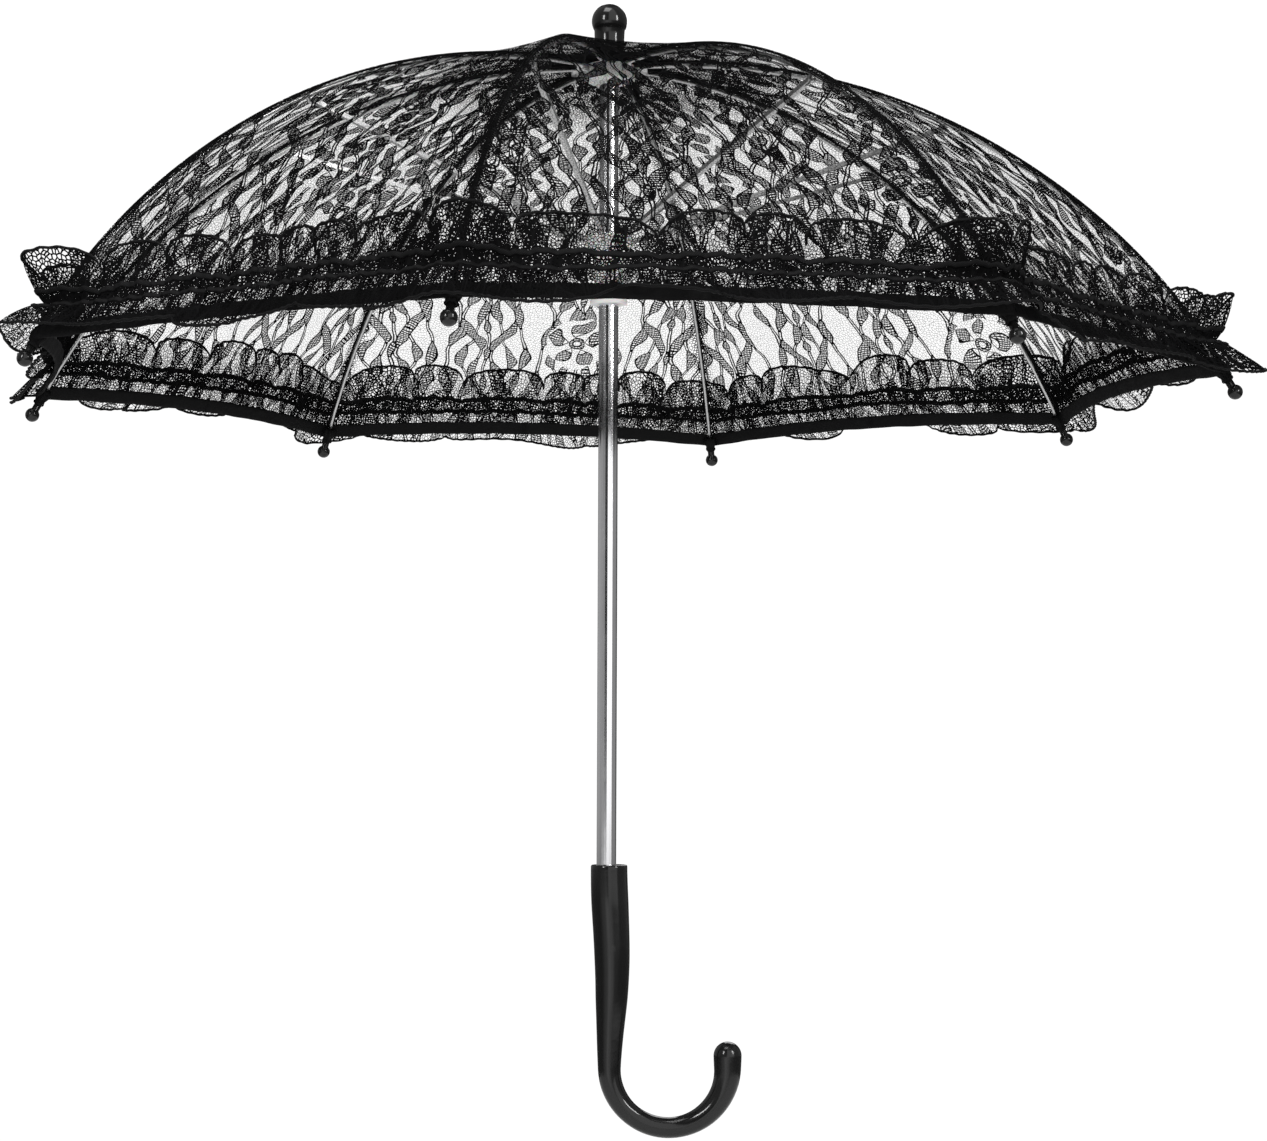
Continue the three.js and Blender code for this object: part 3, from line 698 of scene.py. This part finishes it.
def slow_phase(bearing):
    """The longer waves of the lower edge."""
    return LOWER_WAVES * bearing + 2.2 * np.sin(4 * bearing + 1.9) + 1.4 * np.sin(9 * bearing + 0.4)


def wander(bearing, seed):
    """A slow unevenness round the hem, from about -1 to 1, that closes after one turn."""
    return (np.sin(5 * bearing + seed) + np.sin(13 * bearing + 2.3 * seed)
            + np.sin(23 * bearing + 4.1 * seed)) / 2.2


def on_edging(k, w, t):
    """Point of the gathered strip. t is 0 between the threads, 1 at the upper edge and -1 at the
    lower one. The strip leaves the cloth as |t|^1.25, sways along the hem and rises and falls
    with the waves, and close pleats near the threads die away towards the edges. Beside a rib
    it is crowded, so it stands off sooner and further, as a frill."""
    bearing = rib_bearings[k] + w * PANEL_ANGLE
    phase = wave_phase(bearing)
    slow = slow_phase(bearing)
    far = np.abs(t)
    upper = t > 0
    corner = 1 - smoothstep(0.0, 0.2, np.abs(w))
    strong = 1 + 0.35 * wander(bearing, np.where(upper, 1.0, 2.0)) + 0.45 * corner
    lobe = np.abs(np.sin(phase / 2)) ** 0.6
    drop = np.abs(np.sin(slow / 2)) ** 0.6
    wave = np.where(upper, 0.6 + UPPER_STAND * lobe * strong, 1.6 + LOWER_STAND * drop * strong)
    height = wave + np.where(upper, UPPER_FRILL, LOWER_FRILL) * corner
    pleats = 0.0009 * (1 - far) * np.sin(3.3 * phase) + 0.0004 * np.sin(7.7 * phase + 4 * t)
    lift = EDGING_LIFT + height / UNITS * far ** (1.25 - 0.5 * corner) + pleats
    upper_width = UPPER_WIDTH * (0.62 + 0.55 * lobe + 0.16 * wander(bearing, 3.0))
    upper_width = upper_width * (1 - 0.42 * corner)
    lower_width = LOWER_WIDTH * (0.88 + 0.36 * drop + 0.3 * wander(bearing, 5.0))
    s = hem_at(w) - ATTACH - t * np.where(upper, upper_width, lower_width)
    lean = np.where(upper, -0.9 * np.sin(phase), -0.5 * np.sin(slow))
    sway = SWAY * (1 - 0.4 * corner) * far ** 1.2 * lean
    radius = rib_line(s)[0]
    return on_dome(k, s, w + sway / (radius * PANEL_ANGLE), lift)


def edging_sheet(k):
    """Grid of columns along the hem and rows from the lower edge to the upper one."""
    w = np.linspace(-0.5, 0.5, EDGING_COLUMNS)[None, :]
    t = np.linspace(-1, 1, EDGING_ROWS)[:, None]
    points = on_edging(k, w + 0 * t, t + 0 * w)
    quads = quads_between(EDGING_ROWS, EDGING_COLUMNS, turned=True)
    piece = mesh_piece(f"edging_lace_{k + 1}", points, quads)
    run = np.linalg.norm(np.diff(points, axis=1), axis=2).mean(axis=0)
    length = np.concatenate([[0], np.cumsum(run)])
    drop = np.where(t > 0, t * UPPER_WIDTH, t * LOWER_WIDTH)
    grid = np.stack(np.broadcast_arrays(length[None, :] * UNITS + k * 7 * REPEAT, drop * UNITS), axis=-1)
    put_map(piece, "cloth", corner_values(grid, turned=True))
    beside_rib = 0.35 * (1 - smoothstep(0.08, 0.22, np.abs(w)))
    put_share(piece, "dense", 0.55 * (1 - smoothstep(0.1, 0.35, np.abs(t))) + beside_rib)
    piece.data.materials.append(edging_lace)
    return piece, float(length[-1])


edgings = [edging_sheet(k) for k in range(RIBS)]

# %% Threads of the edging
CORD_R = 0.0007
GATHER_R = 0.001
ROUND = np.stack([np.cos(np.linspace(0, 2 * np.pi, 6, endpoint=False)),
                  np.sin(np.linspace(0, 2 * np.pi, 6, endpoint=False))], axis=-1)


def edging_thread(k, name, t_at, section):
    """A thread that lies on the strip at the share t_at of its width."""
    def at(t, d):
        w = t - 0.5
        return on_edging(k, w, np.full_like(t, t_at) + d / LOWER_WIDTH)
    path, side, up = line_on_cloth(at, EDGING_COLUMNS)
    return swept(f"{name}_{k + 1}", path, side, up, section, thread)


GATHER = oval(2.6 * GATHER_R, 1.3 * GATHER_R, 8)
threads = [[edging_thread(k, "upper_cord", 0.999, ROUND * CORD_R),
            edging_thread(k, "lower_cord", -0.999, ROUND * CORD_R),
            edging_thread(k, "gather_thread_high", THREAD_GAP / UPPER_WIDTH, GATHER),
            edging_thread(k, "gather_thread_low", -THREAD_GAP / LOWER_WIDTH, GATHER)]
           for k in range(RIBS)]

# %% [markdown]
# ## Corner ties
# At each rib's end the seams are drawn together and tied round the sleeve of the tip. The tie is a
# small puckered collar of cloth.

# %% Corner ties
def rib_frame(k, s):
    """Point of rib k at the distance s, with the directions along it, across it and out of it."""
    radius, height, out, up = (float(x) for x in rib_line(np.float64(s)))
    cosine, sine = math.cos(rib_bearings[k]), math.sin(rib_bearings[k])
    point = np.array([cosine * radius, sine * radius, height])
    along = np.array([cosine * up, sine * up, -out])
    across = np.array([-sine, cosine, 0.0])
    normal = np.array([cosine * out, sine * out, up])
    return point, along, across, normal


def turned_about(name, base, along, across, normal, profile, finish, sides=32, frill=None):
    """Turns a profile of (distance, radius) about the line through base: each ring is
    base + distance * along + radius * (cos a * across + sin a * normal)."""
    a = np.linspace(0, 2 * np.pi, sides, endpoint=False)
    radius = profile[:, 1:2] * (1 + (0 if frill is None else frill(a)[None, :]))
    spoke = np.cos(a)[:, None] * across + np.sin(a)[:, None] * normal
    points = base + profile[:, 0][:, None, None] * along + radius[..., None] * spoke[None]
    piece = mesh_piece(name, points, quads_between(len(profile), sides, ring=True))
    around = np.arange(sides)[None, :] / sides * 2 * np.pi * profile[:, 1].max() * UNITS
    grid = np.stack(np.broadcast_arrays(profile[:, 0][:, None] * UNITS, around), axis=-1)
    put_map(piece, "cloth", corner_values(grid, ring=True))
    piece.data.materials.append(finish)
    return seal(piece)


TIE_PROFILE = np.array([
    [-0.0155, 0.0022], [-0.0155, 0.0028], [-0.0140, 0.0036], [-0.0120, 0.0037], [-0.0102, 0.0030],
    [-0.0092, 0.0025], [-0.0084, 0.0025], [-0.0074, 0.0028], [-0.0066, 0.0026], [-0.0063, 0.0022],
    [-0.0155, 0.0022],
])


def corner_tie(k):
    base, along, across, normal = rib_frame(k, RIB_LENGTH)
    def frill(a):
        return 0.1 * np.sin(5 * a + k) + 0.06 * np.sin(9 * a)
    return turned_about(f"corner_tie_{k + 1}", base, along, across, normal, TIE_PROFILE, tape,
                        sides=40, frill=frill)


ties = [corner_tie(k) for k in range(RIBS)]

# %% Fasten the cloth
for k in range(RIBS):
    edging, edging_length = edgings[k]
    fasten(canopy[k], k, f"canopy_gore_{k + 1}")
    fasten(edging, k, f"ruffle_{k + 1}", slot="lace_trim")
    for piece in [hems[k], seams[k], *threads[k]]:
        fasten(piece, k, slot="lace_trim")
    fasten(ties[k], k, slot="lace_trim", folds=False)
    gore_width = 2 * TIP_RADIUS * math.sin(PANEL_ANGLE / 2)
    gore_length = hem_at(0.0) - HOLE_S
    sheet_area(canopy[k])
    strip_width = sheet_area(edging) / edging_length
    if k == 0:
        print("gore", gore_width, gore_length, sheet_area(canopy[k]))
        print("strip", edging_length, strip_width)

# %% [markdown]
# ## Hard finishes
# Chrome plate, drawn steel wire, glossy black moulding and white nylon. Each has fine marks of
# its own size: hairlines along the wire, a faint orange peel on the moulding, dull scuffs.

# %% Hard finishes
def chrome_finish():
    """Plated tube: almost a mirror, with hairlines along it and faint smudges."""
    finish = Finish("chrome", Metallic=1.0)
    place = finish.objects_place()
    stretched = finish.node("ShaderNodeMapping", inputs={"Vector": place, "Scale": (900, 900, 12)})
    lines = finish.noise(1.0, 2.0, where=stretched)
    smudge = finish.noise(38.0, 4.0, 0.6)
    finish.feed("Base Color", finish.mix_colours(smudge, grey(0.66, 0.02), grey(0.8, 0.02)))
    finish.feed("Roughness", finish.between(smudge * 0.7 + lines * 0.3, 0.3, 0.75, 0.07, 0.17))
    finish.bump(lines, 0.05, 0.0001)
    return finish.material


def steel_finish():
    """Drawn wire: bright steel with hairlines and a slightly uneven plating."""
    finish = Finish("bright_steel", Metallic=1.0)
    worn = finish.noise(160.0, 4.0, 0.6)
    lines = finish.noise(1400.0, 1.0)
    finish.feed("Base Color", finish.mix_colours(worn, grey(0.36), grey(0.56)))
    finish.feed("Roughness", finish.between(worn, 0.3, 0.7, 0.26, 0.4))
    finish.bump(lines, 0.08, 0.0001)
    return finish.material


def gloss_finish():
    """Glossy moulding: deep black with a faint orange peel and a few dull hairline scuffs."""
    finish = Finish("gloss_black", Specular_IOR_Level=0.34)
    peel = finish.noise(260.0, 2.0)
    scuff = finish.noise(55.0, 5.0, 0.65)
    marks = finish.between(scuff, 0.6, 0.72)
    finish.feed("Base Color", finish.mix_colours(marks, grey(0.006), grey(0.012)))
    finish.feed("Roughness", finish.between(marks * 0.5 + scuff * 0.5, 0.2, 0.9, 0.12, 0.3))
    finish.bump(peel, 0.06, 0.0004)
    return finish.material


def nylon_finish():
    """White nylon: a soft milky white, mottled inside, with a fine moulded grain."""
    finish = Finish("white_nylon", Subsurface_Weight=0.25, Subsurface_Scale=0.003,
                    Specular_IOR_Level=0.45)
    cloud = finish.noise(120.0, 3.0)
    grain = finish.noise(2200.0, 2.0)
    finish.feed("Base Color", finish.mix_colours(cloud, grey(0.72, 0.01), grey(0.86, -0.02)))
    finish.feed("Roughness", finish.between(cloud, 0.3, 0.7, 0.32, 0.5))
    finish.bump(grain, 0.12, 0.0001)
    return finish.material


chrome = chrome_finish()
steel = steel_finish()
gloss_black = gloss_finish()
nylon = nylon_finish()

# %% [markdown]
# ## The handle
# One glossy moulding: a straight grip that thins towards the neck, and a round bend that ends in
# a rounded nose. A profile of radii is carried along a line down the grip and round the bend. The
# socket for the shaft is part of the same skin.

# %% Handle
HANDLE_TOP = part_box("handle")[1][2]
CROOK_RADIUS = 0.03
GRIP_LENGTH = 0.1026
GRIP_BOW = 0.0015
RIM_ASIDE = 0.0014
BEND_ASIDE = 0.0019
NOSE_LENGTH = 0.0062
SOCKET_RADIUS = 0.0053
SOCKET_DEPTH = 0.028
HANDLE_SIDES = 56
HANDLE_RINGS = 170
PROFILE_S = np.array([0, 18, 46, 66, 84, 100, 126, 154, 180, 198]) / UNITS
PROFILE_R = np.array([9.3, 9.5, 9.0, 8.2, 6.8, 5.8, 5.2, 5.3, 6.3, 7.2]) / UNITS
LINE_LENGTH = GRIP_LENGTH + math.pi * CROOK_RADIUS + NOSE_LENGTH


def crook_line(s):
    """Down the grip, which bows and drifts aside a little, half a turn round the bend's centre,
    and up again."""
    turned = np.clip((s - GRIP_LENGTH) / CROOK_RADIUS, 0, math.pi)
    down = np.minimum(s, GRIP_LENGTH)
    rise = np.maximum(s - GRIP_LENGTH - math.pi * CROOK_RADIUS, 0)
    bow = GRIP_BOW * np.sin(math.pi * down / GRIP_LENGTH) ** 2
    drift = np.sin(math.pi * down / GRIP_LENGTH / 2) ** 2
    aside = RIM_ASIDE + (BEND_ASIDE - RIM_ASIDE) * drift
    x = aside + bow + CROOK_RADIUS * (1 - np.cos(turned))
    z = HANDLE_TOP - down - CROOK_RADIUS * np.sin(turned) + rise
    return np.stack([x, 0 * x, z], axis=-1)


def softened(x, knots, values, reach=0.008):
    """Straight lines between the knots, averaged over a Hann window to round the corners."""
    offsets = np.linspace(-1, 1, 41)[None, :]
    window = 1 + np.cos(np.pi * offsets)
    samples = np.interp(x[:, None] + offsets * reach, knots, values)
    return (samples * window).sum(axis=1) / window.sum()


def handle_skin():
    """Rings along the line. The first ones go down into the socket, over the flat rim and round
    its edge; the last ones close the nose as a half ball."""
    s = np.linspace(0.0012, LINE_LENGTH, HANDLE_RINGS)
    radius = softened(s / LINE_LENGTH * PROFILE_S[-1], PROFILE_S, PROFILE_R)
    rim = radius[0]
    lip_s = np.array([SOCKET_DEPTH, SOCKET_DEPTH, 0.0005, 0.0, 0.0, 0.00015, 0.0005])
    lip_r = np.array([0.0, SOCKET_RADIUS, SOCKET_RADIUS, SOCKET_RADIUS + 0.0004, rim - 0.0011,
                      rim - 0.0004, rim - 0.00008])
    nose = np.linspace(0, np.pi / 2, 16)[1:]
    all_s = np.concatenate([lip_s, s, LINE_LENGTH + radius[-1] * np.sin(nose)])
    all_r = np.concatenate([lip_r, radius, radius[-1] * np.cos(nose)])
    path = crook_line(all_s)
    path[:4, 0] = 0
    ahead = unit(crook_line(all_s + 0.0002) - crook_line(all_s - 0.0002))
    sideways = np.array([0.0, 1.0, 0.0])
    side = np.cross(sideways, ahead)
    a = np.linspace(0, 2 * np.pi, HANDLE_SIDES, endpoint=False)
    spoke = np.cos(a)[None, :, None] * side[:, None, :] + np.sin(a)[None, :, None] * sideways
    points = path[:, None, :] + all_r[:, None, None] * spoke
    piece = mesh_piece("crook_handle", points, quads_between(len(all_s), HANDLE_SIDES, ring=True))
    piece.data.materials.append(gloss_black)
    return seal(piece)


handle = handle_skin()
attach(handle, "shaft")
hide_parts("handle")
print("handle reaches", handle.dimensions[:])

# %% [markdown]
# ## The finial and the rib tips
# The finial is a ball on a collar with a soft waist. Each rib ends in a small glossy ball on a
# sleeve. Both are turned shapes: a profile spun round its own line.

# %% Finial and tips
finial_low, finial_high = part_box("finial")
FINIAL_Z = finial_low[2]
COLLAR_HEIGHT = 0.0103
WAIST_RADIUS = 0.0079
BALL_R = (finial_high[2] - finial_low[2] - COLLAR_HEIGHT) / 2
BALL_Z = finial_high[2] - BALL_R
waist = math.acos(WAIST_RADIUS / BALL_R)
ball_angles = np.linspace(-waist, np.pi / 2, 26)
collar = np.array([
    [FINIAL_Z, 0.0053], [FINIAL_Z, 0.0080], [FINIAL_Z + 0.0005, 0.0085], [FINIAL_Z + 0.0026, 0.0085],
    [FINIAL_Z + 0.0031, 0.0083], [FINIAL_Z + 0.0036, 0.0079], [FINIAL_Z + 0.0060, 0.0078],
    [FINIAL_Z + 0.0100, 0.0078],
])
ball = np.stack([BALL_Z + BALL_R * np.sin(ball_angles), BALL_R * np.cos(ball_angles)], axis=-1)
bore_top = finial_high[2] - 2 * BALL_R + 0.0023
bore = np.array([[bore_top, 0.0], [bore_top, 0.0053]])
finial_profile = np.concatenate([bore, collar, ball])
straight_up = (np.array([0.0, 0, 0]), np.array([0.0, 0, 1]), np.array([1.0, 0, 0]), np.array([0.0, 1, 0]))
finial = turned_about("ball_finial", *straight_up, finial_profile, gloss_black, sides=64)
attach(finial, "shaft")
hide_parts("finial")

TIP_R = 0.00375
SLEEVE_R = 0.002
SLEEVE_BORE = 0.0014
meet = math.acos(SLEEVE_R / TIP_R)
tip_angles = np.linspace(-meet, np.pi / 2, 18)
tip_profile = np.concatenate([
    [[-TIP_R + 0.0003, 0], [-TIP_R + 0.0003, SLEEVE_BORE], [-0.012, SLEEVE_BORE],
     [-0.012, SLEEVE_R - 0.0002], [-0.0118, SLEEVE_R]],
    np.stack([TIP_R * np.sin(tip_angles), TIP_R * np.cos(tip_angles)], axis=-1),
])
for k in range(RIBS):
    tip = turned_about(f"ball_tip_{k + 1}", *rib_frame(k, RIB_LENGTH), tip_profile, gloss_black, sides=36)
    fasten(tip, k, f"rib_tip_{k + 1}", slot="gloss_black", folds=False)
print("finial ball radius", BALL_R)

# %% [markdown]
# ## Hardware that keeps its own shape
# The shaft, ribs, stretchers, notch, runner and catches already have their true shapes. The round
# ones get a merged copy with smooth shading and sharp edges kept, so that their highlights run
# evenly; the tiny ones only take a finish.

# %% Hardware finishes
def smooth_copy(node, name, finish, body, sharp=35.0, bevel=0.0):
    """A merged copy of a node, shaded smooth where its faces meet at less than the sharp angle."""
    copy = bpy.data.objects.new(name, frame["nodes"][node].data.copy())
    bpy.context.scene.collection.objects.link(copy)
    seal(copy, 2e-6)
    copy.data.materials.clear()
    copy.data.materials.append(finish)
    copy.data.shade_smooth()
    copy.data.set_sharp_from_angle(angle=math.radians(sharp))
    if bevel:
        rounding = copy.modifiers.new("rounded_edges", "BEVEL")
        rounding.width = bevel
        rounding.segments = 2
        rounding.limit_method = "ANGLE"
        rounding.angle_limit = math.radians(sharp)
        rounding.harden_normals = True
    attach(copy, body)
    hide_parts(node)
    return copy


smooth_copy("shaft_tube", "bright_shaft", chrome, "shaft")
smooth_copy("top_notch", "nylon_notch", nylon, "shaft", bevel=0.0002)
smooth_copy("runner", "nylon_runner", nylon, "runner", bevel=0.0002)
smooth_copy("crown_washer", "washer", gloss_black, "shaft", bevel=0.0002)
for k in range(RIBS):
    smooth_copy(f"rib_{k + 1}", f"wire_rib_{k + 1}", steel, f"rib_{k + 1}", sharp=50)


def finish_node(node, finish):
    """Gives a node that stays as it is its finish."""
    for slot in frame["nodes"][node].material_slots:
        slot.link = "OBJECT"
        slot.material = finish


small_parts = ["notch_wire", "runner_wire", "open_catch", "closed_catch"]
small_parts += [f"{kind}_{k + 1}" for kind in ("stretcher", "link_rivet") for k in range(RIBS)]
for node in small_parts:
    finish_node(node, steel)
print(len(small_parts), "small parts finished")

# %% [markdown]
# ## Light
# The object stands in soft white light. Chrome shows bands only if what it mirrors changes from
# side to side, so the surroundings have a grey side and a thin dark gap, as a studio has.

# %% Floor, lights and surroundings
FLOOR_Z = -0.46
FLOOR_SIDES = 96
angles = np.linspace(0, 2 * np.pi, FLOOR_SIDES, endpoint=False)
rings = np.array([0.0, 0.3, 0.7, 1.1, 1.6])
floor_points = np.stack([rings[:, None] * np.cos(angles), rings[:, None] * np.sin(angles),
                         np.full((len(rings), FLOOR_SIDES), FLOOR_Z)], axis=-1)
floor = seal(mesh_piece("floor", floor_points, quads_between(len(rings), FLOOR_SIDES, ring=True)))
floor_finish = Finish("pale_floor", Roughness=0.9, Specular_IOR_Level=0.1, Emission_Strength=0.08)
floor_finish.shader.inputs["Emission Color"].default_value = grey(1.0)
tone = floor_finish.noise(6.0, 3.0)
floor_finish.feed("Base Color", floor_finish.mix_colours(tone, grey(0.86), grey(0.9)))
floor.data.materials.append(floor_finish.material)

world = bpy.data.worlds.new("surroundings")
bpy.context.scene.world = world
world.use_nodes = True


def band(low, high, level):
    """One grey step of the surroundings, between two bearings."""
    return [(low, level), (high, level)]


def surroundings():
    """White wherever the camera looks; what is mirrored changes with the bearing, which goes
    from 0 to 1 round the whole turn, and a softer glow lies below the horizon."""
    tree = world.node_tree
    sky = Nodes(tree)
    ahead = sky.node("ShaderNodeTexCoord", output="Generated")
    split = sky.node("ShaderNodeSeparateXYZ", inputs=[ahead])
    bearing = split.maths("ARCTAN2", -split.beside("Y")) / (2 * math.pi) + 0.5
    stops = (band(0.0, 0.06, 0.08) + band(0.09, 0.28, 0.4) + band(0.31, 0.44, 0.3)
             + band(0.455, 0.475, 0.03) + band(0.488, 0.635, 1.5) + band(0.652, 0.86, 0.3)
             + band(0.88, 0.96, 0.05) + [(1.0, 0.08)])
    ramp = sky.node("ShaderNodeValToRGB", {"stops": stops}, [bearing], output="Color")
    glow = (band(0.0, 0.3, 0.1) + [(0.40, 0.75), (0.45, 1.7), (0.5, 1.2), (0.56, 0.3)]
            + band(0.64, 1.0, 0.12))
    low = sky.node("ShaderNodeValToRGB", {"stops": glow}, [bearing], output="Color")
    low.socket.node.color_ramp.interpolation = "EASE"
    ramp = sky.mix_colours(sky.between(split.beside("Z"), -0.075, -0.035), low, ramp)
    seen = sky.node("ShaderNodeLightPath", output="Is Camera Ray")
    colour = sky.mix_colours(seen, ramp, grey(1.05))
    tree.links.new(colour.socket, tree.nodes["Background"].inputs["Color"])
    tree.nodes["Background"].inputs["Strength"].default_value = 1.0


surroundings()


def soft_light(name, place, aim, size, power):
    """An area light, size wide and high, that looks from place to aim."""
    data = bpy.data.lights.new(name, "AREA")
    data.shape = "RECTANGLE"
    data.size, data.size_y = size
    data.energy = power
    light = bpy.data.objects.new(name, data)
    bpy.context.scene.collection.objects.link(light)
    facing = (Vector(place) - Vector(aim)).to_track_quat("Z", "Y").to_matrix().to_4x4()
    light.matrix_world = Matrix.Translation(place) @ facing
    light.visible_camera = False
    return light


soft_light("left_strip", (-1.05, -1.35, 0.95), (0, 0, 0.35), (0.22, 0.8), 15)
soft_light("right_strip", (1.25, -1.1, 0.9), (0, 0, 0.35), (0.16, 0.8), 15)
soft_light("top_light", (-0.3, -0.5, 1.9), (0, 0, 0.2), (0.8, 0.8), 14)
soft_light("back_light", (0.3, 1.6, 1.2), (0, 0, 0.3), (1.0, 1.0), 10)
bpy.context.scene.view_settings.view_transform = "Standard"
bpy.context.scene.cycles.transparent_max_bounces = 40
